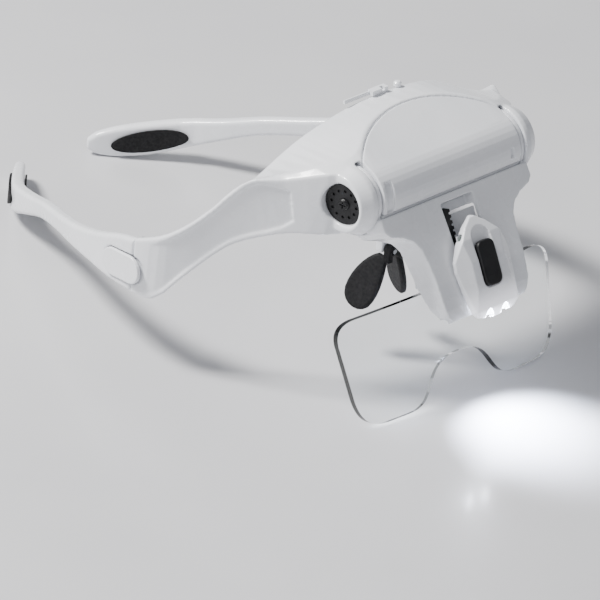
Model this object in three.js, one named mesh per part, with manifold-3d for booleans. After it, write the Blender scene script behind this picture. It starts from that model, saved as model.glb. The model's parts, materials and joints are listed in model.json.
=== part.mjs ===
// Head visor magnifier: a brow frame with temple arms, a tilting visor that carries a clear lens,
// and a sliding lamp. Millimetres, +Z up, front towards -Y, +X towards the wearer's left.
// Everything is drawn from the visor's tilt axis, and the whole is then set on its table.
import * as THREE from 'three';
import { mergeVertices } from 'three/addons/utils/BufferGeometryUtils.js';
import Module from 'manifold-3d';

const wasm = await Module();
wasm.setup();

// ---- Driving dimensions ----
const AXIS_HEIGHT = 76; // tilt axis above the table
const AXIS_SETBACK = 69.4; // tilt axis in front of the middle of the length
const GAP = 0.3; // running gap between neighbouring pieces
const DRUM_RADIUS = 12.5; // brow drum round the tilt axis
const DRUM_WALL = 1.7;
const SLIT_IN = 33.8; // the slit that an ear ring turns in, from the middle
const SLIT_OUT = 36.2;
const SLIT_FLOOR = 8.4; // radius of the drum's core in the slit
const BARREL_END = 43; // outer face of the round barrel ends
const CAP_RADIUS = 7.3;
const CAP_TURN = THREE.MathUtils.degToRad(13); // caps look slightly forward
const CAP_AT = [BARREL_END - 1, -1.1, 0];
const SCREW_AT = [-0.7, 0]; // the pivot screw's shaft, in side view
const LIP = [-12, -3.5]; // top of the visor's face, in side view
const COVER_LOW = -2.2; // the battery cover's front edge lies just above the visor's
const FACE_TILT = THREE.MathUtils.degToRad(27.9); // visor face from upright
const LAMP_BACK = 4.9; // the lamp's seat, in front of the face datum
const LAMP_FRONT = 9.3;
const LENS_TILT = THREE.MathUtils.degToRad(19.5);
const LENS_TOP = [-10.4, -39.8]; // lens face at its top corners, in side view
const LENS_HEIGHT = 38.6;
const LENS_THICK = 2.5;
const LENS_BOW = 3.5; // how far the middle stands forward of the ends
const HINGE = [73, 61]; // temple hinge axis in plan
const CELL_RADIUS = 5.25; // AAA cell
const CELL_LENGTH = 44.5;
const CELLS = [[-4.1, -2.5], [7.3, -4.6], [3, 6.7]]; // cell axes in side view
const BAY_HALF = 31.5; // half width of the battery bay
const FINENESS = 0.04; // how far a surface may move to save triangles

// ---- Materials ----
const finish = (color, roughness, metalness = 0) =>
  new THREE.MeshStandardMaterial({ color, roughness, metalness });
const white = finish(0xf1f2f6, 0.25);
const innerWhite = finish(0xe4e6ea, 0.45);
const black = finish(0x17181a, 0.45);
const rubber = finish(0x121314, 0.75);
const steel = finish(0xb9bcc0, 0.3, 1);
const brass = finish(0xc9a85a, 0.35, 1);
const green = finish(0x2f6b46, 0.5);
const wrap = finish(0x6f7f8c, 0.4);
const lit = finish(0xf4f7ff, 0.2);
const clear = finish(0xdfe9ef, 0.05);

// ---- Solids ----
const vec = (x, y, z) => new THREE.Vector3(x, y, z);

function outward(geometry) {
  const p = geometry.getAttribute('position');
  const index = geometry.index.array;
  const corner = (k) => vec().fromBufferAttribute(p, index[k]);
  let volume = 0;
  for (let k = 0; k < index.length; k += 3) {
    volume += corner(k).dot(corner(k + 1).cross(corner(k + 2)));
  }
  if (volume < 0) {
    index.reverse();
  }
  return geometry;
}

// A closed skin over rings of equally many points, with a fan on each end.
function loft(rings) {
  const count = rings[0].length;
  const points = rings.flat();
  const middle = (ring) =>
    ring.reduce((sum, p) => sum.add(p), vec(0, 0, 0)).divideScalar(count);
  const start = points.push(middle(rings[0])) - 1;
  const end = points.push(middle(rings.at(-1))) - 1;
  const last = (rings.length - 1) * count;
  const index = [];
  for (let k = 0; k < count; k++) {
    const next = (k + 1) % count;
    for (let r = 0; r < last; r += count) {
      index.push(r + k, r + next, r + count + k, r + next, r + count + next, r + count + k);
    }
    index.push(start, next, k, end, last + k, last + next);
  }
  const geometry = new THREE.BufferGeometry().setFromPoints(points);
  geometry.setIndex(index);
  return outward(geometry);
}

function solid(geometry) {
  const bare = geometry.clone();
  bare.deleteAttribute('normal');
  bare.deleteAttribute('uv');
  const merged = mergeVertices(bare, 1e-4);
  return new wasm.Manifold(new wasm.Mesh({
    numProp: 3,
    vertProperties: new Float32Array(merged.getAttribute('position').array),
    triVerts: new Uint32Array(merged.index.array),
  }));
}

function surface(manifold) {
  const mesh = manifold.simplify(FINENESS).getMesh();
  const geometry = new THREE.BufferGeometry();
  geometry.setAttribute('position', new THREE.BufferAttribute(mesh.vertProperties, 3));
  geometry.setIndex(new THREE.BufferAttribute(mesh.triVerts, 1));
  return geometry;
}

const join = (...solids) => solids.reduce((sum, next) => sum.add(next));
const cut = (body, ...tools) => tools.reduce((rest, tool) => rest.subtract(tool), body);
const scaledX = (manifold) => manifold.scale([-1, 1, 1]);
const both = (manifold) => manifold.add(scaledX(manifold));

const outline = (points) => new THREE.Shape(points.map(([a, b]) => new THREE.Vector2(a, b)));

// An outline in side view (y, z), pushed along X from x0 to x1.
function across(points, x0, x1) {
  const geometry = new THREE.ExtrudeGeometry(outline(points), { depth: x1 - x0, bevelEnabled: false });
  const turn = new THREE.Matrix4().makeBasis(vec(0, 1, 0), vec(0, 0, 1), vec(1, 0, 0));
  return solid(geometry.applyMatrix4(turn).translate(x0, 0, 0));
}

// A cylinder or cone along X from x0 to x1, round the side view point at.
function rod(r0, r1, x0, x1, at = [0, 0], sides = 24) {
  const geometry = new THREE.CylinderGeometry(r1, r0, x1 - x0, sides);
  geometry.rotateZ(-Math.PI / 2).translate((x0 + x1) / 2, ...at);
  return solid(geometry);
}

function upright(radius, z0, z1, at, sides = 20) {
  const geometry = new THREE.CylinderGeometry(radius, radius, z1 - z0, sides);
  geometry.rotateX(Math.PI / 2).translate(...at, (z0 + z1) / 2);
  return solid(geometry);
}

function box(x0, x1, y0, y1, z0, z1) {
  const geometry = new THREE.BoxGeometry(x1 - x0, y1 - y0, z1 - z0);
  return solid(geometry.translate((x0 + x1) / 2, (y0 + y1) / 2, (z0 + z1) / 2));
}

// A leaning plane in side view: u runs along X, v down the plane from its top, w out of it.
function leaning(top, tilt) {
  const up = vec(0, Math.sin(tilt), Math.cos(tilt));
  const out = vec(0, -Math.cos(tilt), Math.sin(tilt));
  const frame = new THREE.Matrix4().makeBasis(vec(1, 0, 0), up, out).setPosition(0, ...top);
  return {
    frame,
    side: (v, w) => [top[0] - v * up.y + w * out.y, top[1] - v * up.z + w * out.z],
    at: (u, v, w) => vec(u, -v, w).applyMatrix4(frame),
    plate: (points, w0, w1, bevel = 0) => {
      const flat = outline(points.map(([u, v]) => [u, -v]));
      const geometry = new THREE.ExtrudeGeometry(flat, {
        depth: w1 - w0 - 2 * bevel,
        bevelEnabled: bevel > 0,
        bevelSize: bevel,
        bevelThickness: bevel,
        bevelOffset: -bevel,
        bevelSegments: 2,
      });
      return solid(geometry.translate(0, 0, w0 + bevel).applyMatrix4(frame));
    },
  };
}
const face = leaning(LIP, FACE_TILT);
const lensPlane = leaning(LENS_TOP, LENS_TILT);

const arc = (cx, cy, r, from, to, steps) =>
  Array.from({ length: steps + 1 }, (_, k) => {
    const angle = THREE.MathUtils.degToRad(from + ((to - from) * k) / steps);
    return [cx + r * Math.cos(angle), cy + r * Math.sin(angle)];
  });
const mirrored = (half) => [...half, ...half.map(([u, v]) => [-u, v]).reverse()];

// ---- Brow frame: hood and brackets as one skin ----
// Stations from the middle to the temple hinge. Each has the outer face's bottom and top,
// the hood's bend, the crest, the crest's back edge and the bottom of the inner face.
const CREASE = [-4.9, 11.5]; // where the drum meets the flat top, in side view
const TOP_SLOPE = Math.atan2(8.6, 19.9);
const onTop = (x, y) => [x, y, CREASE[1] + (y - CREASE[0]) * Math.tan(TOP_SLOPE)];
const STATIONS = [
  [[0, -2, -12], [0, ...CREASE], onTop(0, 15), [0, 24.6, 18.8], [0, 26.5, 17.2], [0, 26.5, -12]],
  [[12, -2, -12], [12, ...CREASE], onTop(12, 13.6), [12, 24.7, 18.4], [12, 26.5, 16.8], [12, 26.5, -12]],
  [[22, -2, -12], [22, ...CREASE], onTop(22, 10.4), [22, 25.2, 16.6], [22, 26.8, 15], [22, 26.5, -12]],
  [[31, -2, -12], [31, ...CREASE], onTop(31, 4.6), [31, 26.6, 13.2], [31, 28, 11.8], [31, 26.8, -12]],
  [[37, -1.5, -12], [36.4, -3.5, 11.6], [36.4, 4, 13.6], [36.4, 28.2, 10], [36, 29.5, 8.6], [35.4, 28, -12.2]],
  [[44.6, 3, -13], [44, 3.6, 10], [44.4, 10, 10.6], [43.6, 29.8, 5.2], [42.8, 31, 4], [41.6, 28.6, -13]],
  [[51.3, 12.5, -14.3], [52.8, 16.3, 5.2], [53.6, 21, 5], [52, 31.3, -0.6], [51, 32.4, -1.6], [49, 30, -15]],
  [[58, 23.4, -18.9], [59.6, 25.6, 3.2], [60, 27, 2.6], [58, 32.2, -3], [57, 33, -3.8], [55, 30.6, -19]],
  [[62.5, 30, -23], [63.6, 31, -3], [62.9, 32.4, -3.2], [61.2, 34, -5.4], [60.2, 34.6, -6], [59.3, 33, -23.2]],
  [[66.5, 36, -29.5], [67.6, 36.8, -11.5], [66.6, 37.4, -11.2], [65.6, 38, -11.3], [64.5, 38.6, -11.8],
    [63.3, 38, -29.8]],
  [[71.3, 43.3, -39], [72.2, 43.4, -19.4], [71.2, 44, -19], [70.2, 44.6, -19.2], [69.1, 45.2, -19.8],
    [68, 45, -39.3]],
  [[76, 51.6, -49.2], [76, 50.6, -25.2], [75, 51.1, -24.7], [74, 51.6, -24.9], [72.6, 52.2, -25.6],
    [72.6, 53, -49.2]],
  [[77.8, 60.7, -49.9], [77.8, 60.7, -29.6], [76.9, 60.7, -29.1], [75.7, 60.7, -29.1], [74, 60.7, -29.6],
    [74, 60.7, -49.9]],
];
const RAILS = STATIONS[0].map((_, k) =>
  new THREE.CatmullRomCurve3(STATIONS.map((s) => vec(...s[k])), false, 'centripetal'));
const BENDS = 26;
const station = (t) => RAILS.map((rail) => rail.getPoint(t));

function sideSkin() {
  return solid(loft(Array.from({ length: BENDS + 1 }, (_, k) => station(k / BENDS))));
}

// The shallow pocket in a bracket's outer face, inside a narrow rim. It fades towards the hinge.
const POCKET_DEPTH = 0.8;
const POCKET_FIRST = 0.495;
const POCKET_LAST = 0.945;
const POCKET_RIM = 1.9;
function bracketPocket() {
  const rings = [];
  const steps = 16;
  for (let k = 0; k <= steps; k++) {
    const t = POCKET_FIRST + ((POCKET_LAST - POCKET_FIRST) * k) / steps;
    const [low, high] = station(t);
    const up = high.clone().sub(low);
    const way = RAILS[0].getTangent(t);
    const out = way.clone().cross(up).normalize();
    const corner = k === 0 ? 2.6 : k === 1 ? 0.6 : 0;
    const rim = (POCKET_RIM + corner) / up.length();
    const bottom = low.clone().addScaledVector(up, rim);
    const top = low.clone().addScaledVector(up, 1 - rim);
    const depth = -POCKET_DEPTH * Math.min(1, (4.6 * (steps - k)) / steps + 0.2);
    rings.push([
      bottom.clone().addScaledVector(out, 3),
      top.clone().addScaledVector(out, 3),
      top.clone().addScaledVector(out, depth),
      bottom.clone().addScaledVector(out, depth),
    ]);
  }
  return solid(loft(rings));
}

function barrelEnd() {
  return join(
    rod(DRUM_RADIUS, DRUM_RADIUS, SLIT_OUT - 0.5, 38.4, [0, 0], 40),
    rod(DRUM_RADIUS, 10.2, 38.4, BARREL_END, [0, 0], 40),
  );
}

function capSeat(radius, depth, length) {
  const geometry = new THREE.CylinderGeometry(radius, radius, length, 32);
  geometry.rotateZ(-Math.PI / 2).translate(length / 2 - depth, 0, 0).rotateZ(-CAP_TURN);
  return solid(geometry.translate(...CAP_AT));
}

const BAY = [
  [28.5, -10.2], [28.5, 10], [22, 11.4], [9, 12.8], [3, 12.8], [-3.9, 9.9],
  ...arc(0, 0, DRUM_RADIUS - DRUM_WALL, 114, 262, 16), [8, -10.2],
];
const HIGH_BAY = [[28.5, 8], [28.5, 14.4], [22, 15.4], [12, 16.4], [6, 14], [6, 8]];
const HIGH_BAY_HALF = 19;

function batteryBay() {
  return join(
    across(BAY, -BAY_HALF, BAY_HALF),
    across(HIGH_BAY, -HIGH_BAY_HALF, HIGH_BAY_HALF),
  );
}

const DRUM_OUT = arc(0, 0, DRUM_RADIUS, 0, 351, 39);

// The battery cover's edge seen from above its slope: the drum's width, closed by one wide arc.
function coverOutline(inset) {
  const half = SLIT_IN - GAP - inset;
  const reach = 15.5 - inset;
  const radius = (half * half + reach * reach) / (2 * reach);
  const spread = THREE.MathUtils.radToDeg(Math.asin(half / radius));
  return [[half, -30 + inset], ...arc(0, reach - radius, radius, 90 - spread, 90 + spread, 24),
    [-half, -30 + inset]];
}

// Everything above the slope and in front of the drum that belongs to the battery cover.
function coverRegion(inset) {
  const flat = outline(coverOutline(inset));
  const above = new THREE.ExtrudeGeometry(flat, { depth: 40, bevelEnabled: false });
  above.rotateX(TOP_SLOPE).translate(0, 0, 12.6);
  const block = solid(above);
  const lowest = COVER_LOW + inset;
  const deep = across([[-30, lowest], [14, lowest], [30, 12], [30, 60], [-30, 60]],
    -SLIT_IN + GAP + inset, SLIT_IN - GAP - inset);
  const front = across([[-30, lowest], [-6, lowest], [0, 11.8], [0, 60], [-30, 60]],
    -SLIT_IN + GAP + inset, SLIT_IN - GAP - inset);
  return join(block.subtract(across([[-60, -60], [60, -60], [60, 8], [-60, 2]], -60, 60)), front)
    .intersect(deep);
}

function hoodSkin() {
  const half = sideSkin();
  const drum = across(DRUM_OUT, -SLIT_IN, SLIT_IN);
  return join(both(half), drum, both(barrelEnd()), rod(SLIT_FLOOR, SLIT_FLOOR, -37, 37));
}

function earSlot() {
  const ring = cut(
    rod(DRUM_RADIUS + 0.4, DRUM_RADIUS + 0.4, SLIT_IN, SLIT_OUT, [0, 0], 40),
    rod(SLIT_FLOOR, SLIT_FLOOR, SLIT_IN - 1, SLIT_OUT + 1),
  );
  const open = across([[-40, -40], [1, -40], [1, 13.2], [-2, 40], [-40, 40]], SLIT_IN, SLIT_OUT);
  return join(ring, cut(open, rod(DRUM_RADIUS, DRUM_RADIUS, SLIT_IN - 1, SLIT_OUT + 1)));
}

const HINGE_LOW = -47;
const HINGE_HIGH = -31;
const KNUCKLE = 2.5;
const PIN_RADIUS = 1;

// Upper and lower knuckles on the bracket; the arm's knuckle turns between them.
function bracketKnuckles() {
  const third = (HINGE_HIGH - HINGE_LOW) / 3;
  const knuckle = (z0, z1) => join(
    upright(KNUCKLE, z0, z1, HINGE),
    box(HINGE[0], HINGE[0] + 3.2, 56, HINGE[1] - GAP, z0, z1),
  );
  return join(
    knuckle(HINGE_LOW, HINGE_LOW + third - GAP / 2),
    knuckle(HINGE_HIGH - third + GAP / 2, HINGE_HIGH),
  );
}

const PIN_HOLE = upright(PIN_RADIUS + 0.1, HINGE_LOW - 3, HINGE_HIGH + 3, HINGE);
const ARM_TURN = upright(
  KNUCKLE + GAP,
  HINGE_LOW + (HINGE_HIGH - HINGE_LOW) / 3 - GAP / 2,
  HINGE_HIGH - (HINGE_HIGH - HINGE_LOW) / 3 + GAP / 2,
  HINGE,
);

// The pill-shaped release button lies on bracket and arm, turned with the side of the head.
const BUTTON_TURN = 7; // degrees
const BUTTON_LEAN = 7.7;
function pill(length, height, x0, x1) {
  const r = height / 2;
  const reach = length / 2 - r;
  const points = [...arc(reach, 0, r, -90, 90, 12), ...arc(-reach, 0, r, 90, 270, 12)];
  const body = across(points, x0, x1);
  return body.rotate([-BUTTON_LEAN, 0, 0]).rotate([0, 0, BUTTON_TURN]).translate([76.9, 66, -41.8]);
}

function browFrame() {
  const skin = hoodSkin();
  const screwHole = rod(1.1, 1.1, 30, 50, SCREW_AT);
  const sideTools = [
    bracketPocket(), earSlot(), capSeat(CAP_RADIUS + GAP, 1.6, 6), screwHole,
    pill(20.6, 10.8, -1.3, 4), ARM_TURN,
  ];
  let frame = join(skin, both(bracketKnuckles()));
  for (const tool of sideTools) {
    frame = cut(frame, tool, scaledX(tool));
  }
  return cut(frame, batteryBay(), coverRegion(-GAP), both(PIN_HOLE));
}

function batteryCover() {
  const skin = hoodSkin();
  const cover = cut(skin.intersect(coverRegion(0)), batteryBay());
  const groove = (from, to) => [...arc(0, 0, 13, from, to, 8), ...arc(0, 0, 11.4, to, from, 8)];
  const slot = across(groove(138, 189), -31.8, -28.5);
  const notch = across(groove(161, 178), 28.5, 29.9);
  return cut(cover, slot, notch);
}

// ---- What the brow holds ----
const REAR_FACE = 26.2;
function rearCover() {
  const plate = join(
    box(-BAY_HALF + GAP, BAY_HALF - GAP, REAR_FACE - 1.8, REAR_FACE, -9.9, 9.2),
    box(-HIGH_BAY_HALF + GAP, HIGH_BAY_HALF - GAP, REAR_FACE - 1.8, REAR_FACE, 8, 14.1),
  );
  const bore = join(alongY(1.2, 10, 30, 28, -5), alongY(2.3, REAR_FACE - 1.3, 30, 28, -5));
  return cut(plate, both(bore));
}

// A cylinder along Y from y0 to y1 at (x, z).
function alongY(radius, y0, y1, x, z, sides = 20) {
  const geometry = new THREE.CylinderGeometry(radius, radius, y1 - y0, sides);
  return solid(geometry.translate(x, (y0 + y1) / 2, z));
}

const rearScrew = () => join(
  alongY(0.9, 16, REAR_FACE - 0.5, 28, -5),
  alongY(2, REAR_FACE - 1, REAR_FACE - 0.2, 28, -5),
);

function batteryTray() {
  const front = arc(0, 0, DRUM_RADIUS - DRUM_WALL - GAP, 172, 260, 10);
  const half = BAY_HALF - GAP;
  const block = across([[24, -9.8], [24, 2], [-9.8, 2], ...front, [7.8, -9.8]], -half, half);
  const troughs = CELLS.map((at) => rod(CELL_RADIUS + GAP, CELL_RADIUS + GAP, -26, 26, at));
  const plateSlot = both(box(23, 24.3, -12, 14, -8.6, 12));
  const well = box(-24, 24, 14.6, 22.4, -8, 4);
  return cut(block, ...troughs, plateSlot, well, both(alongY(1.2, 10, 30, 28, -5)));
}

function cell(at) {
  const half = CELL_LENGTH / 2;
  return join(
    rod(CELL_RADIUS, CELL_RADIUS, -half, half - 1.2, at),
    rod(1.9, 1.9, half - 1.5, half, at, 16),
  );
}

const CONTACT = [[-7.8, -6], [11, -8.4], [12, -1], [6, 11], [0.5, 10.4], [-8.6, 0]];
const contactPlate = () => across(CONTACT, 23.4, 23.9);
const contactSpring = (at) => rod(2.8, 1.8, -23.2, -22.4, at, 16);

function ridgeClip() {
  const bar = box(-5, 2.4, 23.8, 26.2, 19.2, 21);
  const blade = across([[25.4, 19.2], [26.2, 19.1], [26.3, 20.3], [25.6, 20.5]], -17, -4.5);
  return cut(join(bar, blade), box(-0.6, 0.9, 23, 25.4, 19.9, 22));
}

function ridgeStud() {
  const profile = [[0, 19.1], [1.4, 19.1], [1.4, 20.2], [0.9, 20.7], [0, 20.8]];
  const geometry = new THREE.LatheGeometry(profile.map(([r, z]) => new THREE.Vector2(r, z)), 20);
  return solid(geometry.rotateX(Math.PI / 2).translate(8.2, 24.9, 0));
}

// Pieces seated in the left barrel end are drawn on the cap's own axis, then turned with it.
const onCap = (manifold) =>
  manifold.rotate([0, 0, -THREE.MathUtils.radToDeg(CAP_TURN)]).translate(CAP_AT);

function pivotCap() {
  const disc = rod(CAP_RADIUS, CAP_RADIUS, -1.3, -0.2, [0, 0], 32);
  const dimples = Array.from({ length: 12 }, (_, k) => {
    const angle = (k * Math.PI) / 6;
    return rod(0.6, 0.6, -0.7, 1, [4.9 * Math.cos(angle), 4.9 * Math.sin(angle)], 6);
  });
  return onCap(cut(disc, rod(1.2, 1.2, -3, 3, [0, 0], 20), ...dimples));
}

function pivotScrew() {
  const head = join(rod(2.1, 1.6, 0.1, 0.9, [0, 0], 24), rod(0.9, 0.9, -1.5, 0.3, [0, 0], 16));
  const cross = join(box(0.4, 2, -1.2, 1.2, -0.25, 0.25), box(0.4, 2, -0.25, 0.25, -1.2, 1.2));
  return join(onCap(cut(head, cross)), rod(0.8, 0.8, 36, BARREL_END - 2, SCREW_AT, 16));
}

// ---- Nose pads ----
const NOSE_PIN = [2.4, -35.4]; // x and z of the left pad's pivot
const NOSE_SPLAY = THREE.MathUtils.degToRad(18); // the pads open towards the wearer
function noseBracket() {
  const stalk = across([[12.2, -13], [17.4, -13], [16.2, -30], [15.8, -37], [13, -37], [12.6, -30]], -4.6, 4.6);
  const flange = box(-9, 9, 7, 18.4, -14.2, -12.9);
  return cut(join(stalk, flange), both(alongY(0.95, 12, 18, ...NOSE_PIN)));
}

const nosePin = () => alongY(0.85, 8.6, 15, ...NOSE_PIN, 16);

function nosePad() {
  const root = vec(3.4, 13.4, -38.2);
  const tip = vec(11.4, 17.6, -59);
  const up = root.clone().sub(tip).normalize();
  const out = vec(0, 1, 0).cross(up).normalize();
  const along = up.clone().cross(out).normalize();
  const frame = new THREE.Matrix4().makeBasis(along, up, out).setPosition(root);
  const leaf = new THREE.Shape();
  leaf.moveTo(-2.1, 0);
  leaf.lineTo(1.3, 0);
  leaf.bezierCurveTo(4.8, -3, 7.4, -11, 6.2, -17);
  leaf.bezierCurveTo(5, -22.8, -2.4, -23.4, -4.6, -19);
  leaf.bezierCurveTo(-6.6, -13.4, -4, -4.6, -2.1, 0);
  const geometry = new THREE.ExtrudeGeometry(leaf, {
    depth: 1.2,
    bevelEnabled: true,
    bevelSize: 0.8,
    bevelThickness: 0.6,
    bevelOffset: -0.8,
    bevelSegments: 1,
    curveSegments: 7,
  });
  geometry.translate(0, 0, -0.6).rotateY(-NOSE_SPLAY);
  const blade = solid(geometry.applyMatrix4(frame));
  const barrel = alongY(2, 9, 12.6 - GAP, ...NOSE_PIN);
  const neck = box(2.2, 4.4, 9.4, 12.2, -40, -36.4);
  return cut(join(blade, barrel, neck), alongY(0.95, 8, 16, ...NOSE_PIN));
}

// ---- Visor ----
const PANEL_SIDE = [
  face.side(0, 1.3), face.side(10, 2.5), face.side(20, 3.6), face.side(28, 4.5), face.side(37, 4.4),
  face.side(41.5, 3.6), [-31.8, -41], [-25.6, -36.8], [-20.1, -31.5], [-14.4, -24.3], [-9.5, -17.8],
  [-3.5, -14.4], [-2.5, -12], [-9, -2.2],
];
const PANEL_HOLLOW = [
  face.side(6.5, 0.2), face.side(12, 0.9), face.side(20, 1.8), face.side(28, 2.7), face.side(36, 2.6),
  face.side(39.6, 1.6), [-31, -46], [-18, -40], [-10, -28], [-3, -17],
];
const PANEL_FRONT = mirrored([
  [35.9, -1], [35.9, 4.6], [34, 6.8], [29, 8.4], [25, 10.8], [22.8, 14.2], [21.8, 20], [21.4, 28],
  [20.7, 36], [19.2, 40], [16.6, 42.6], [12, 43.8],
]);
const RAIL_HALF = 7.75;
const RAIL_TOP = 2.4;
const RAIL_END = 36;

function earRing() {
  const ring = rod(DRUM_RADIUS - 0.7, DRUM_RADIUS - 0.7, SLIT_IN + GAP, SLIT_OUT - GAP, [0, 0], 40);
  const hole = rod(SLIT_FLOOR + 0.4, SLIT_FLOOR + 0.4, SLIT_IN - 1, SLIT_OUT + 1);
  const bridge = [...arc(0, 0, DRUM_RADIUS - 1, 196, 234, 8), ...arc(0, 0, DRUM_RADIUS + 1.6, 234, 196, 8)];
  return join(cut(ring, hole), across(bridge, SLIT_IN + GAP, SLIT_OUT - GAP));
}

function visorPanel() {
  const block = across(PANEL_SIDE, -36, 36).intersect(face.plate(PANEL_FRONT, -40, 12));
  const room = rod(DRUM_RADIUS + 0.4, DRUM_RADIUS + 0.4, -40, 40, [0, 0], 48);
  const slot = face.plate([[-RAIL_HALF, RAIL_TOP], [RAIL_HALF, RAIL_TOP], [RAIL_HALF, RAIL_END],
    [-RAIL_HALF, RAIL_END]], -3, 12);
  const shell = cut(block, room, across(PANEL_HOLLOW, -18.8, 18.8), slot);
  return join(shell, both(earRing()));
}

function panelBack() {
  const plate = across([[-15.2, -25.2], [-29.4, -40], [-30.4, -38.8], [-16.4, -24.2]], -18.5, 18.5);
  return cut(plate, both(box(6, 8.4, -27, -23, -36, -30)));
}

function lensHolder() {
  const block = across([[-9.2, -21.6], [-14.5, -25], [-19.6, -30.4], lensPlane.side(-1, 6.8),
    lensPlane.side(-1, 0.2), lensPlane.side(-15, 0.2)], -11.4, 11.4);
  return cut(block, lensPlane.plate([[-9.4, -12.8], [9.4, -12.8], [9.4, 3], [-9.4, 3]], 1.85, 5.15));
}

function lampRack() {
  const teeth = [[-7.2, 4]];
  for (let v = 5; v < 34; v += 2) {
    teeth.push([-4.6, v], [-4.6, v + 1], [-5.4, v + 1.2], [-5.4, v + 1.8]);
  }
  teeth.push([-7.2, 35]);
  return face.plate(teeth, 0.4, 1.6);
}

const slotBack = () => face.plate([[-9, 7.6], [9, 7.6], [9, 33], [-9, 33]], -1.9, -1.1);

// ---- Lamp ----
const LAMP_EDGE = mirrored([
  [0.5, 8.8], [5, 12], [9.5, 16.8], [12.8, 22.4], [13.1, 26], [11.8, 34], [10.2, 41], [8, 43.4], [3, 44.4],
]);
const LAMP_SIDE = [
  [8.6, LAMP_BACK], [9.4, 6.6], [16, 8.5], [24, LAMP_FRONT], [34, 9.2], [41, 8.2], [44.6, 6.4],
  [44.6, LAMP_BACK],
];
const SWITCH_HALF = 4;
const SWITCH_TOP = 17.8;
const SWITCH_END = 33.8;
const SWITCH_TRAVEL = 4;
const LED_SPREAD = 3.8;

// A cylinder down the face, at u and w, from v0 to v1.
function downFace(radius, u, w, v0, v1) {
  const geometry = new THREE.CylinderGeometry(radius, radius, v1 - v0, 20);
  return solid(geometry.translate(u, -(v0 + v1) / 2, w).applyMatrix4(face.frame));
}

// An upright bar on the lamp's face with rounded corners, r0 at its top and r1 at its foot.
function roundedBar(half, v0, v1, r0, r1) {
  return [
    ...arc(r0 - half, v0 + r0, r0, 180, 270, 5), ...arc(half - r0, v0 + r0, r0, 270, 360, 5),
    ...arc(half - r1, v1 - r1, r1, 0, 90, 5), ...arc(r1 - half, v1 - r1, r1, 90, 180, 5),
  ];
}

function lampShell() {
  const edge = face.plate(LAMP_EDGE, LAMP_BACK, 12);
  const side = across(LAMP_SIDE.map(([v, w]) => face.side(v, w)), -20, 20);
  const ridge = new THREE.ExtrudeGeometry(
    outline([[-14, LAMP_BACK - 1], [14, LAMP_BACK - 1], [14, 5.9], [7.2, 9.6], [-7.2, 9.6], [-14, 5.9]]),
    { depth: 60, bevelEnabled: false },
  );
  const down = new THREE.Matrix4().makeBasis(vec(1, 0, 0), vec(0, 0, 1), vec(0, -1, 0));
  const spine = solid(ridge.applyMatrix4(down).applyMatrix4(face.frame));
  const hollow = face.plate([[-8.4, 14], [8.4, 14], [8.4, 41.6], [-8.4, 41.6]], LAMP_BACK - 1, 6.9);
  const wide = SWITCH_HALF + GAP;
  const track = roundedBar(wide, SWITCH_TOP - SWITCH_TRAVEL - 1.2, SWITCH_END + GAP, wide - 0.01, 2.4);
  const recess = face.plate(track, 7.4, 12);
  const ledHoles = [-1, 1].map((side) => downFace(1.8, side * LED_SPREAD, 6.3, 36, 50));
  return cut(edge.intersect(side).intersect(spine), hollow, recess, ...ledHoles);
}

function lampBase() {
  const plate = face.plate([[-8.1, 14.3], [8.1, 14.3], [8.1, 37], [-8.1, 37]], LAMP_BACK, 5.5);
  const tongue = face.plate([[-3.4, 20], [3.4, 20], [3.4, 34], [-3.4, 34]], 0.4, LAMP_BACK + 0.2);
  const foot = face.plate([[-3.4, 20], [6.8, 20], [6.8, 34], [-3.4, 34]], 0.2, 1.6);
  return join(plate, tongue, foot);
}

const ledBoard = () => face.plate([[-7.6, 16], [7.6, 16], [7.6, 36.4], [-7.6, 36.4]], 5.8, 6.5);
const led = (side) => join(
  downFace(1.5, side * LED_SPREAD, 6.3, 38.3, 43),
  downFace(1.75, side * LED_SPREAD, 6.3, 37.6, 38.6),
);

const switchSlider = () =>
  face.plate(roundedBar(SWITCH_HALF, SWITCH_TOP, SWITCH_END, 2.5, 2.5), 7.7, 10.1, 0.6);

// ---- Lens ----
const LENS_EDGE = new THREE.Shape();
LENS_EDGE.moveTo(0, 0);
LENS_EDGE.lineTo(43.4, 0);
LENS_EDGE.bezierCurveTo(49.4, 0, 52.2, -2.6, 51.6, -7.6);
LENS_EDGE.lineTo(48.9, -26.4);
LENS_EDGE.bezierCurveTo(47.8, -34.4, 43.8, -LENS_HEIGHT, 36, -LENS_HEIGHT);
LENS_EDGE.lineTo(27, -LENS_HEIGHT);
LENS_EDGE.bezierCurveTo(18.6, -LENS_HEIGHT, 17.4, -35.8, 13.6, -29.8);
LENS_EDGE.bezierCurveTo(10, -24.6, 5.6, -LENS_HEIGHT + 14.8, 0, -LENS_HEIGHT + 14.8);

// Lowest and highest point of the lens's edge at u.
function lensSpan(edge, u) {
  const hits = edge.flatMap((p, k) => {
    const q = edge[(k + 1) % edge.length];
    const crosses = (p.x - u) * (q.x - u) < 0;
    return crosses ? [p.y + ((q.y - p.y) * (u - p.x)) / (q.x - p.x)] : [];
  });
  return [Math.min(...hits), Math.max(...hits)];
}

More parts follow.
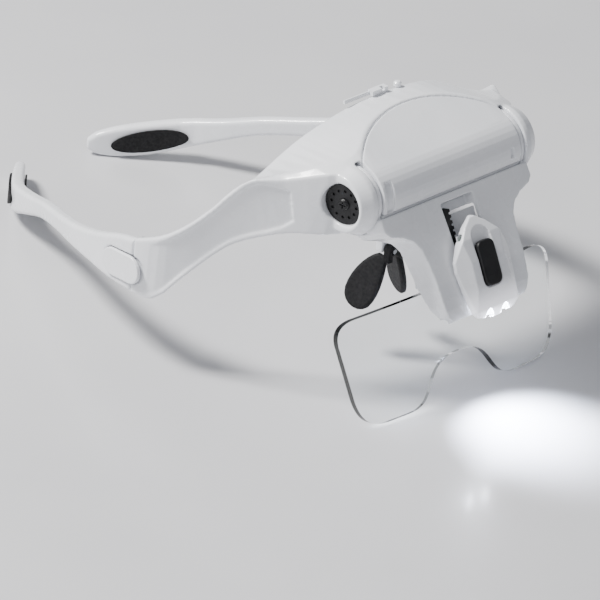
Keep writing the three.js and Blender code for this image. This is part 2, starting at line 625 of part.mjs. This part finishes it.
function lens() {
  const edge = LENS_EDGE.getPoints(16);
  const widest = Math.max(...edge.map((p) => p.x)) - 0.02;
  const bow = (u) => LENS_BOW * (1 - (u / 52) ** 2);
  const steps = 32;
  const ringAt = (u, low, high) => [[low, -1], [high, -1], [high, 1], [low, 1]].map(([v, front]) =>
    vec(u, v, bow(u) + (front * LENS_THICK) / 2).applyMatrix4(lensPlane.frame));
  const rings = Array.from({ length: steps + 1 }, (_, k) => {
    const u = widest * Math.sin((Math.PI / 2) * ((2 * k) / steps - 1));
    return ringAt(u, ...lensSpan(edge, Math.abs(u) + 1e-4));
  });
  const tab = Array.from({ length: 7 }, (_, k) => {
    const u = 9 * (k / 3 - 1);
    return ringAt(u, -1, 12);
  });
  return solid(loft(rings)).add(solid(loft(tab)));
}

// ---- Temple arms ----
// Middle line of the left arm with its height and thickness: x, y, z, height, thickness.
const ARM = [
  [75.9, 61, -39.75, 20.3, 3.8], [75.3, 68.4, -40.7, 18.8, 3.9], [73.7, 77, -42.6, 15.4, 4],
  [71, 85.5, -44.8, 12.2, 4], [65.8, 99.3, -48.2, 8.8, 4.2], [59.6, 113.1, -51.2, 6.8, 4.4],
  [52.8, 127.6, -55, 6.8, 4.5], [47.4, 139.7, -60, 8.2, 4.6], [41.3, 152.5, -65, 11, 4.6],
  [33, 161.5, -68.2, 12.6, 4.4], [24.8, 169, -70.1, 11.8, 4.1], [19, 174.4, -71.2, 8.6, 3.6],
  [16.4, 176.7, -71.6, 4, 2.6],
];
const armLine = new THREE.CatmullRomCurve3(ARM.map(([x, y, z]) => vec(x, y, z)), false, 'centripetal');
const armSize = new THREE.CatmullRomCurve3(ARM.map((row) => vec(row[3], row[4], 0)), false, 'catmullrom');

function armSkin(extra) {
  const steps = 28;
  const rings = [];
  for (let k = 0; k <= steps; k++) {
    const at = armLine.getPoint(k / steps);
    const way = armLine.getTangent(k / steps);
    const size = armSize.getPoint(k / steps);
    const out = vec(way.y, -way.x, 0).normalize();
    const h = size.x / 2;
    const t = size.y / 2 + extra;
    const soft = 0.9;
    rings.push([[t, h - soft], [t - soft, h], [soft - t, h], [-t, h - soft],
      [-t, soft - h], [soft - t, -h], [t - soft, -h], [t, soft - h]]
      .map(([a, b]) => at.clone().addScaledVector(out, a).add(vec(0, 0, b))));
  }
  return solid(loft(rings));
}

function templeArm() {
  const third = (HINGE_HIGH - HINGE_LOW) / 3;
  const low = upright(KNUCKLE + GAP, HINGE_LOW - GAP, HINGE_LOW + third, HINGE);
  const high = upright(KNUCKLE + GAP, HINGE_HIGH - third, HINGE_HIGH + GAP, HINGE);
  const z0 = HINGE_LOW + third + GAP / 2;
  const z1 = HINGE_HIGH - third - GAP / 2;
  const knuckle = join(upright(KNUCKLE, z0, z1, HINGE), box(HINGE[0], HINGE[0] + 3, HINGE[1], 64, z0, z1));
  return cut(join(armSkin(0), knuckle), low, high, PIN_HOLE, pill(20.6, 10.8, -1.3, 4));
}

const hingePin = () => upright(PIN_RADIUS, HINGE_LOW - 0.6, HINGE_HIGH + 0.6, HINGE);
const templeButton = () => pill(20, 10.2, -0.1, 1.3);

function templePads() {
  const middle = vec(32.6, 161.6, -68.2);
  const along = vec(20, -18, 6).normalize();
  const out = vec(-along.y, along.x, 0).normalize();
  const up = out.clone().cross(along).normalize();
  const frame = new THREE.Matrix4().makeBasis(along, up, out).setPosition(middle);
  const oval = new THREE.Shape().absellipse(0, 0, 14, 4.1, 0, Math.PI * 2);
  const prism = new THREE.ExtrudeGeometry(oval, { depth: 16, bevelEnabled: false, curveSegments: 14 });
  const layer = cut(armSkin(0.9), armSkin(GAP));
  return [0, -16].map((start) =>
    layer.intersect(solid(prism.clone().translate(0, 0, start).applyMatrix4(frame))));
}

// ---- The assembly ----
const magnifier = new THREE.Group();
magnifier.position.set(0, -AXIS_SETBACK, AXIS_HEIGHT);

function place(name, manifold, material) {
  const mesh = new THREE.Mesh(surface(manifold), material);
  mesh.name = name;
  magnifier.add(mesh);
}

function placePair(name, manifold, material) {
  place(`${name}_left`, manifold, material);
  place(`${name}_right`, scaledX(manifold), material);
}

place('brow_frame', browFrame(), white);
place('rear_cover', rearCover(), white);
placePair('rear_screw', rearScrew(), steel);
place('battery_cover', batteryCover(), white);
place('battery_tray', batteryTray(), innerWhite);
CELLS.forEach((at, k) => {
  place(`battery_${k + 1}`, cell(at), wrap);
  place(`contact_spring_${k + 1}`, contactSpring(at), brass);
});
placePair('contact_plate', contactPlate(), steel);
place('ridge_clip', ridgeClip(), white);
place('ridge_stud', ridgeStud(), white);
placePair('pivot_cap', pivotCap(), black);
placePair('pivot_screw', pivotScrew(), black);
place('nose_bracket', noseBracket(), white);
placePair('nose_pin', nosePin(), steel);
placePair('nose_pad', nosePad(), rubber);
place('visor_panel', visorPanel(), white);
place('panel_back', panelBack(), white);
place('lens_holder', lensHolder(), white);
place('lamp_rack', lampRack(), black);
place('slot_back', slotBack(), innerWhite);
place('lamp_shell', lampShell(), white);
place('lamp_base', lampBase(), innerWhite);
place('led_board', ledBoard(), green);
place('led_left', led(1), lit);
place('led_right', led(-1), lit);
place('switch_slider', switchSlider(), black);
place('lens', lens(), clear);
placePair('temple_arm', templeArm(), white);
placePair('hinge_pin', hingePin(), steel);
placePair('temple_button', templeButton(), white);
const [innerPad, outerPad] = templePads();
placePair('temple_pad_inner', innerPad, rubber);
placePair('temple_pad_outer', outerPad, rubber);

export default magnifier;
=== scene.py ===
# Head visor magnifier: looks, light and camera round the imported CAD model. Metres, +Z up.
import json
import math

import bmesh
import bpy
from mathutils import Matrix, Vector

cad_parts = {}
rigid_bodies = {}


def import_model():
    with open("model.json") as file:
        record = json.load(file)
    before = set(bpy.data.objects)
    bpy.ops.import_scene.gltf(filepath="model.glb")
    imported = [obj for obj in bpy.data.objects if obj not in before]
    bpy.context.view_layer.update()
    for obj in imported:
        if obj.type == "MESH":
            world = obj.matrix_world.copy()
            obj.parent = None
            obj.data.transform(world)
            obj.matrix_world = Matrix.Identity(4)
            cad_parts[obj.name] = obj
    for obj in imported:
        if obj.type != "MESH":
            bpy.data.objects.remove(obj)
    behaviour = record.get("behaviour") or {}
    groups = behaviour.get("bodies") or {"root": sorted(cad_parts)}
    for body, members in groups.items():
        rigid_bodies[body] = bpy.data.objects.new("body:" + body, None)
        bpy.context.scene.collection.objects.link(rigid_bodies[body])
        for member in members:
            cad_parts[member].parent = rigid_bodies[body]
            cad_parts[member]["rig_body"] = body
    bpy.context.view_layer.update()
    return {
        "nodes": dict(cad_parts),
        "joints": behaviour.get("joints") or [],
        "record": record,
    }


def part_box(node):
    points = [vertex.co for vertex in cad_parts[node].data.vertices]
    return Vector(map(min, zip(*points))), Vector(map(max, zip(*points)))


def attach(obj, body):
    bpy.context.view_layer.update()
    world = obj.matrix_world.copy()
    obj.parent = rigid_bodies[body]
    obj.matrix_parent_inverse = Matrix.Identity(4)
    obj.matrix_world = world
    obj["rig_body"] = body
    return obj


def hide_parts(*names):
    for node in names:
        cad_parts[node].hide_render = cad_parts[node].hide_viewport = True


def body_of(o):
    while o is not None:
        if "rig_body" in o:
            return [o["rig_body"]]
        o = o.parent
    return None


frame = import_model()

MM = 0.001
NODES = frame["nodes"]
SLOT_OF = {part["node"]: part["material_slot"] for part in frame["record"]["subparts"]}

# ---- Places from the frame ----
tilt_joint = next(joint for joint in frame["joints"] if joint["name"] == "visor_tilt")
AXIS = Vector(tilt_joint["pos_m"])


def at(x, y, z):
    """A point given in millimetres from the visor's tilt axis."""
    return AXIS + Vector((x, y, z)) * MM


# ---- Materials ----
class Surface:
    """A Principled material whose colour, roughness and bump come from noise in object space."""

    def __init__(self, name, **sockets):
        self.material = bpy.data.materials.new(name)
        self.material.use_nodes = True
        self.tree = self.material.node_tree
        self.bsdf = self.tree.nodes["Principled BSDF"]
        for key, value in sockets.items():
            self.bsdf.inputs[key.replace("_", " ")].default_value = value
        coords = self.tree.nodes.new("ShaderNodeTexCoord")
        self.place = coords.outputs["Object"]

    def noise(self, scale, detail=3, stretch=(1, 1, 1)):
        mapping = self.tree.nodes.new("ShaderNodeMapping")
        mapping.inputs["Scale"].default_value = stretch
        self.tree.links.new(self.place, mapping.inputs["Vector"])
        node = self.tree.nodes.new("ShaderNodeTexNoise")
        node.inputs["Scale"].default_value = scale
        node.inputs["Detail"].default_value = detail
        self.tree.links.new(mapping.outputs["Vector"], node.inputs["Vector"])
        return node.outputs["Fac"]

    def color(self, low, high, factor):
        ramp = self.tree.nodes.new("ShaderNodeValToRGB")
        ramp.color_ramp.elements[0].position = 0.35
        ramp.color_ramp.elements[0].color = (*low, 1)
        ramp.color_ramp.elements[1].position = 0.65
        ramp.color_ramp.elements[1].color = (*high, 1)
        self.tree.links.new(factor, ramp.inputs["Fac"])
        self.tree.links.new(ramp.outputs["Color"], self.bsdf.inputs["Base Color"])
        return self

    def rough(self, low, high, factor):
        span = self.tree.nodes.new("ShaderNodeMapRange")
        span.inputs["From Min"].default_value = 0.3
        span.inputs["From Max"].default_value = 0.7
        span.inputs["To Min"].default_value = low
        span.inputs["To Max"].default_value = high
        self.tree.links.new(factor, span.inputs["Value"])
        self.tree.links.new(span.outputs["Result"], self.bsdf.inputs["Roughness"])
        return self

    def bump(self, strength, distance, factor):
        node = self.tree.nodes.new("ShaderNodeBump")
        node.inputs["Strength"].default_value = strength
        node.inputs["Distance"].default_value = distance
        self.tree.links.new(factor, node.inputs["Height"])
        self.tree.links.new(node.outputs["Normal"], self.bsdf.inputs["Normal"])
        return self


def white_plastic(name):
    s = Surface(name, Coat_Weight=0.35, Coat_Roughness=0.08)
    s.color((0.80, 0.815, 0.85), (0.86, 0.87, 0.90), s.noise(35))
    s.rough(0.2, 0.32, s.noise(180))
    return s.bump(0.05, 0.0002, s.noise(420, 2))


def gloss_white():
    return white_plastic("gloss_white").material


# The lamp's axis in the visor's face: the LEDs shine down it through the lower end of the shell.
FACE_TILT = math.radians(27.9)
DOWN_FACE = Vector((0, -math.sin(FACE_TILT), -math.cos(FACE_TILT)))
# The painted glow on the shell: where it begins down the face, how far it fades in, and how strong its
# emission is.
PAINTED_GLOW_START = at(0, -12, -3.5) + DOWN_FACE * 31 * MM
PAINTED_GLOW_LENGTH = 13 * MM
PAINTED_GLOW_STRENGTH = 0.95


def painted_glow_white():
    """White plastic with a painted glow at its lower end, where its wall lies over the LEDs: emission
    stands in for their light showing through the wall.
    """
    s = white_plastic("painted_glow_white")
    # The painted glow's colour: emission on the plastic, standing in for the LEDs' light through it.
    s.bsdf.inputs["Emission Color"].default_value = (0.93, 0.92, 1, 1)
    down = s.tree.nodes.new("ShaderNodeVectorMath")
    down.operation = "DOT_PRODUCT"
    down.inputs[1].default_value = DOWN_FACE
    s.tree.links.new(s.place, down.inputs[0])
    span = s.tree.nodes.new("ShaderNodeMapRange")
    span.interpolation_type = "SMOOTHSTEP"
    span.inputs["From Min"].default_value = PAINTED_GLOW_START.dot(DOWN_FACE)
    span.inputs["From Max"].default_value = PAINTED_GLOW_START.dot(DOWN_FACE) + PAINTED_GLOW_LENGTH
    span.inputs["To Max"].default_value = PAINTED_GLOW_STRENGTH
    s.tree.links.new(down.outputs["Value"], span.inputs["Value"])
    s.tree.links.new(span.outputs["Result"], s.bsdf.inputs["Emission Strength"])
    return s.material


def inner_white():
    s = Surface("inner_white")
    # Its grey, darker than the gloss white, is painted shade for the parts that sit inside in shadow; its
    # matte roughness is the plastic's own.
    s.color((0.66, 0.67, 0.7), (0.74, 0.75, 0.77), s.noise(60))
    s.rough(0.4, 0.55, s.noise(200))
    return s.bump(0.12, 0.0001, s.noise(1500)).material


def satin_black():
    s = Surface("satin_black", Specular_IOR_Level=0.35)
    s.color((0.004, 0.004, 0.005), (0.009, 0.009, 0.01), s.noise(300))
    s.rough(0.32, 0.5, s.noise(500))
    return s.bump(0.25, 0.0001, s.noise(3200, 4)).material


def soft_rubber():
    s = Surface("soft_rubber", Specular_IOR_Level=0.3)
    s.color((0.003, 0.003, 0.004), (0.009, 0.009, 0.01), s.noise(900))
    s.rough(0.6, 0.82, s.noise(1200))
    return s.bump(0.5, 0.00015, s.noise(2200, 5)).material


def plated_steel():
    s = Surface("plated_steel", Metallic=1)
    s.color((0.5, 0.51, 0.53), (0.64, 0.65, 0.67), s.noise(400))
    s.rough(0.2, 0.38, s.noise(900, 2, (1, 1, 12)))
    return s.bump(0.1, 0.00005, s.noise(2500, 2, (1, 1, 10))).material


def spring_brass():
    s = Surface("spring_brass", Metallic=1)
    s.color((0.62, 0.48, 0.22), (0.76, 0.62, 0.33), s.noise(400))
    return s.rough(0.22, 0.4, s.noise(900)).material


def cell_sleeve():
    s = Surface("cell_sleeve")
    s.color((0.2, 0.25, 0.3), (0.28, 0.33, 0.38), s.noise(50))
    return s.rough(0.25, 0.4, s.noise(150)).material


def circuit_board():
    s = Surface("circuit_board")
    s.color((0.02, 0.16, 0.06), (0.05, 0.25, 0.1), s.noise(700))
    return s.rough(0.3, 0.5, s.noise(300)).material


def led_body():
    s = Surface("led_body", Emission_Color=(0.82, 0.88, 1, 1), Emission_Strength=14)
    s.color((0.9, 0.93, 1), (1, 1, 1), s.noise(500))
    return s.rough(0.08, 0.15, s.noise(500)).material


def clear_acrylic():
    s = Surface("clear_acrylic", Transmission_Weight=1, IOR=1.49)
    s.color((0.965, 0.985, 1), (0.99, 1, 1), s.noise(30))
    s.rough(0.0, 0.02, s.noise(60))
    s.bump(0.02, 0.0001, s.noise(80))
    # A shadow ray passes straight through, so that the lens leaves the light shadow of a clear sheet.
    tree = s.tree
    rays = tree.nodes.new("ShaderNodeLightPath")
    pass_through = tree.nodes.new("ShaderNodeBsdfTransparent")
    pass_through.inputs["Color"].default_value = (0.93, 0.95, 0.97, 1)
    mix = tree.nodes.new("ShaderNodeMixShader")
    tree.links.new(rays.outputs["Is Shadow Ray"], mix.inputs[0])
    tree.links.new(s.bsdf.outputs["BSDF"], mix.inputs[1])
    tree.links.new(pass_through.outputs["BSDF"], mix.inputs[2])
    tree.links.new(mix.outputs["Shader"], tree.nodes["Material Output"].inputs["Surface"])
    return s.material


def glossy_table():
    s = Surface("glossy_table", Coat_Weight=0.25, Coat_Roughness=0.12)
    s.color((0.61, 0.61, 0.63), (0.65, 0.65, 0.665), s.noise(9))
    s.rough(0.28, 0.4, s.noise(14))
    return s.bump(0.03, 0.001, s.noise(5, 2)).material


MATERIALS = {
    "white": gloss_white(),
    "inner_white": inner_white(),
    "black": satin_black(),
    "rubber": soft_rubber(),
    "steel": plated_steel(),
    "spring_brass": spring_brass(),
    "cell_wrap": cell_sleeve(),
    "board_green": circuit_board(),
    "led_lit": led_body(),
    "lens_clear": clear_acrylic(),
}


def paint(obj, slot_name):
    obj.data.materials.clear()
    obj.data.materials.append(MATERIALS[slot_name])


for node_name, node in NODES.items():
    paint(node, SLOT_OF[node_name])


# ---- Mesh work ----
def evaluated_mesh(obj):
    graph = bpy.context.evaluated_depsgraph_get()
    return bpy.data.meshes.new_from_object(obj.evaluated_get(graph))


def new_object(name, mesh):
    obj = bpy.data.objects.new(name, mesh)
    bpy.context.collection.objects.link(obj)
    return obj


def body_name(node_name):
    return body_of(NODES[node_name])[0]


def stand_in(obj, *node_names):
    """obj replaces these nodes, wears their finish and rides on their body."""
    paint(obj, SLOT_OF[node_names[0]])
    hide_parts(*node_names)
    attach(obj, body_name(node_names[0]))
    return obj


def moulded(node_name, voxel, rounds):
    """The node's solid as one moulded skin: remeshed finely, then relaxed until its edges are fillets."""
    source = NODES[node_name]
    obj = new_object(node_name + "_skin", source.data.copy())
    remesh = obj.modifiers.new("voxels", "REMESH")
    remesh.mode = "VOXEL"
    remesh.voxel_size = voxel * MM
    remesh.use_smooth_shade = True
    relax = obj.modifiers.new("relax", "SMOOTH")
    relax.factor = 0.5
    relax.iterations = rounds
    mesh = evaluated_mesh(obj)
    obj.modifiers.clear()
    obj.data = mesh
    mesh.shade_smooth()
    stand_in(obj, node_name)
    return obj


def softened(node_name, width):
    """A CAD node that keeps its shape, with its edges eased."""
    bevel = NODES[node_name].modifiers.new("eased edges", "BEVEL")
    bevel.width = width * MM
    bevel.segments = 3
    bevel.limit_method = "ANGLE"
    bevel.angle_limit = math.radians(35)
    bevel.harden_normals = False
    NODES[node_name].data.shade_smooth()


# How finely each moulding is remeshed, in millimetres, and how many rounds relax it.
MOULDINGS = {
    "brow_frame": (0.4, 9),
    "battery_cover": (0.3, 3),
    "visor_panel": (0.38, 5),
    "lamp_shell": (0.25, 5),
    "temple_arm_left": (0.38, 14),
    "temple_arm_right": (0.38, 14),
    "nose_bracket": (0.3, 5),
    "nose_pad_left": (0.25, 6),
    "nose_pad_right": (0.25, 6),
    "lens_holder": (0.3, 5),
    "switch_slider": (0.2, 5),
    "temple_button_left": (0.25, 5),
    "temple_button_right": (0.25, 5),
}
COARSE = 1
EASED_EDGE = 0.15  # the bevel on every other node, in millimetres
for node_name, (voxel, rounds) in MOULDINGS.items():
    moulded(node_name, voxel * COARSE, rounds)
for node_name in NODES:
    if node_name not in MOULDINGS and node_name != "lens":
        softened(node_name, EASED_EDGE)

# ---- Lens: one clear sheet, bowed forward, with eased edges ----
LENS_TILT = math.radians(19.5)
LENS_TOP = at(0, -10.4, -39.8)  # the middle of its upper edge
LENS_UP = Vector((0, math.sin(LENS_TILT), math.cos(LENS_TILT)))
LENS_OUT = Vector((0, -math.cos(LENS_TILT), math.sin(LENS_TILT)))
# In millimetres: height, thickness, how far the middle bows out over half its width, and the tab.
LENS_HEIGHT = 38.6
LENS_THICK = 2.5
LENS_BOW = 3.5
BOW_HALF_WIDTH = 52
LENS_EDGE = 0.4
TAB_HALF = 9
TAB_HEIGHT = 12
TAB_CORNER = 0.6
NOTCH_HEIGHT = 14.8
# The flat sheet is cut into upright strips so that it can bow.
STRIP_WIDTH = 2.1
STRIPS_EACH_SIDE = 24


def bezier(start, control_a, control_b, end, steps=18):
    points = []
    for k in range(1, steps + 1):
        t = k / steps
        weights = ((1 - t) ** 3, 3 * t * (1 - t) ** 2, 3 * t * t * (1 - t), t ** 3)
        corners = (start, control_a, control_b, end)
        points.append(tuple(sum(w * c[i] for w, c in zip(weights, corners)) for i in range(2)))
    return points


def lens_outline():
    """Right half of the edge from the tab round to the nose notch, then its mirror image."""
    foot = -LENS_HEIGHT
    top_corner, side_foot, hem_corner = (43.4, 0), (48.9, -26.4), (36, foot)
    notch_foot, notch_side, notch_top = (27, foot), (13.6, -29.8), (0, foot + NOTCH_HEIGHT)
    half = [(TAB_HALF, TAB_HEIGHT), (TAB_HALF, TAB_CORNER), (TAB_HALF + TAB_CORNER, 0), top_corner]
    half += bezier(top_corner, (49.4, 0), (52.2, -2.6), (51.6, -7.6))
    half += [side_foot]
    half += bezier(side_foot, (47.8, -34.4), (43.8, foot), hem_corner)
    half += [notch_foot]
    half += bezier(notch_foot, (18.6, foot), (17.4, -35.8), notch_side)
    half += bezier(notch_side, (10, -24.6), (5.6, foot + NOTCH_HEIGHT), notch_top)
    return half + [(-u, v) for u, v in reversed(half[:-1])]


def lens_sheet():
    mesh = bmesh.new()
    mesh.faces.new([mesh.verts.new((u, v, 0)) for u, v in lens_outline()])
    for k in range(-STRIPS_EACH_SIDE, STRIPS_EACH_SIDE + 1):
        geometry = mesh.verts[:] + mesh.edges[:] + mesh.faces[:]
        cut = (k * STRIP_WIDTH, 0, 0)
        bmesh.ops.bisect_plane(mesh, geom=geometry, plane_co=cut, plane_no=(1, 0, 0))
    for vert in mesh.verts:
        u, v, _ = vert.co
        bow = LENS_BOW * (1 - (u / BOW_HALF_WIDTH) ** 2)
        vert.co = LENS_TOP + (Vector((u, 0, 0)) + LENS_UP * v + LENS_OUT * bow) * MM
    data = bpy.data.meshes.new("lens_sheet")
    mesh.to_mesh(data)
    mesh.free()
    obj = new_object("lens_sheet", data)
    thick = obj.modifiers.new("thickness", "SOLIDIFY")
    thick.thickness = LENS_THICK * MM
    thick.offset = 0
    eased = obj.modifiers.new("eased edges", "BEVEL")
    eased.width = LENS_EDGE * MM
    eased.segments = 3
    eased.limit_method = "ANGLE"
    eased.angle_limit = math.radians(50)
    eased.harden_normals = True
    data.shade_smooth()
    return stand_in(obj, "lens")


lens_sheet()

# The lamp's shell keeps its slot name and gets a painted glow at its lower end: emission standing in for
# the LEDs' light through its wall.
bpy.data.objects["lamp_shell_skin"].data.materials[0] = painted_glow_white()

# ---- Stage ----
TABLE_SIZE = 6
bpy.ops.mesh.primitive_plane_add(size=TABLE_SIZE, location=(0, 0, 0))
floor = bpy.context.object
floor.name = "table"
floor.data.materials.append(glossy_table())

world = bpy.data.worlds.new("studio")
bpy.context.scene.world = world
world.use_nodes = True
sky = world.node_tree.nodes["Background"]
sky.inputs["Color"].default_value = (0.93, 0.95, 1, 1)
sky.inputs["Strength"].default_value = 0.4


def aimed(name, kind, place, target, power, **settings):
    """A light of this kind and power at place, facing target."""
    lamp = bpy.data.lights.new(name, kind)
    lamp.energy = power
    for key, value in settings.items():
        setattr(lamp, key, value)
    obj = new_object(name, lamp)
    obj.location = place
    obj.rotation_euler = (Vector(target) - Vector(place)).to_track_quat("-Z", "Y").to_euler()
    return obj


aimed(
    "window", "AREA", place=(-0.72, 0.66, 1.3), target=(0, 0, 0.03), power=54,
    size=0.36, color=(1, 0.99, 0.97),
)
aimed("fill", "AREA", place=(-1.1, -0.5, 0.5), target=(0, 0, 0.04), power=2.2, size=0.7)

# The LEDs' own light: a beam down the lamp's slope on to the table, and a glow round their tips.
TIP_REACH = 4.6 * MM  # from the middle of an LED to just past its tip
for side in ("left", "right"):
    low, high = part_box("led_" + side)
    middle = (Vector(low) + Vector(high)) / 2
    tip = middle + DOWN_FACE * TIP_REACH
    aimed(
        "beam_" + side, "SPOT", place=tip, target=tip + DOWN_FACE, power=0.95,
        spot_size=math.radians(80), spot_blend=1, color=(0.8, 0.85, 1), shadow_soft_size=0.0015,
    )
    aimed(
        "glow_" + side, "POINT", place=tip, target=tip + DOWN_FACE, power=0.012,
        color=(0.84, 0.88, 1), shadow_soft_size=0.001,
    )

# ---- Camera ----
RIGHT = Vector((0.702, -0.707, 0.086)).normalized()
UP = Vector((0.287, 0.392, 0.874))
UP = (UP - RIGHT * UP.dot(RIGHT)).normalized()
BACK = RIGHT.cross(UP)
DISTANCE = 3.276
SENSOR_WIDTH = 36
FOCAL_LENGTH = 576
# What the camera looks at, from the tilt axis: so far to its left and below it.
AIM_LEFT, AIM_BELOW = 0.0435, 0.0448
camera_data = bpy.data.cameras.new("camera")
camera_data.sensor_width = SENSOR_WIDTH
camera_data.lens = FOCAL_LENGTH
camera = new_object("camera", camera_data)
aim = AXIS - RIGHT * AIM_LEFT - UP * AIM_BELOW
turned = Matrix((RIGHT, UP, BACK)).transposed().to_4x4()
camera.matrix_world = Matrix.Translation(aim + BACK * DISTANCE) @ turned
bpy.context.scene.camera = camera
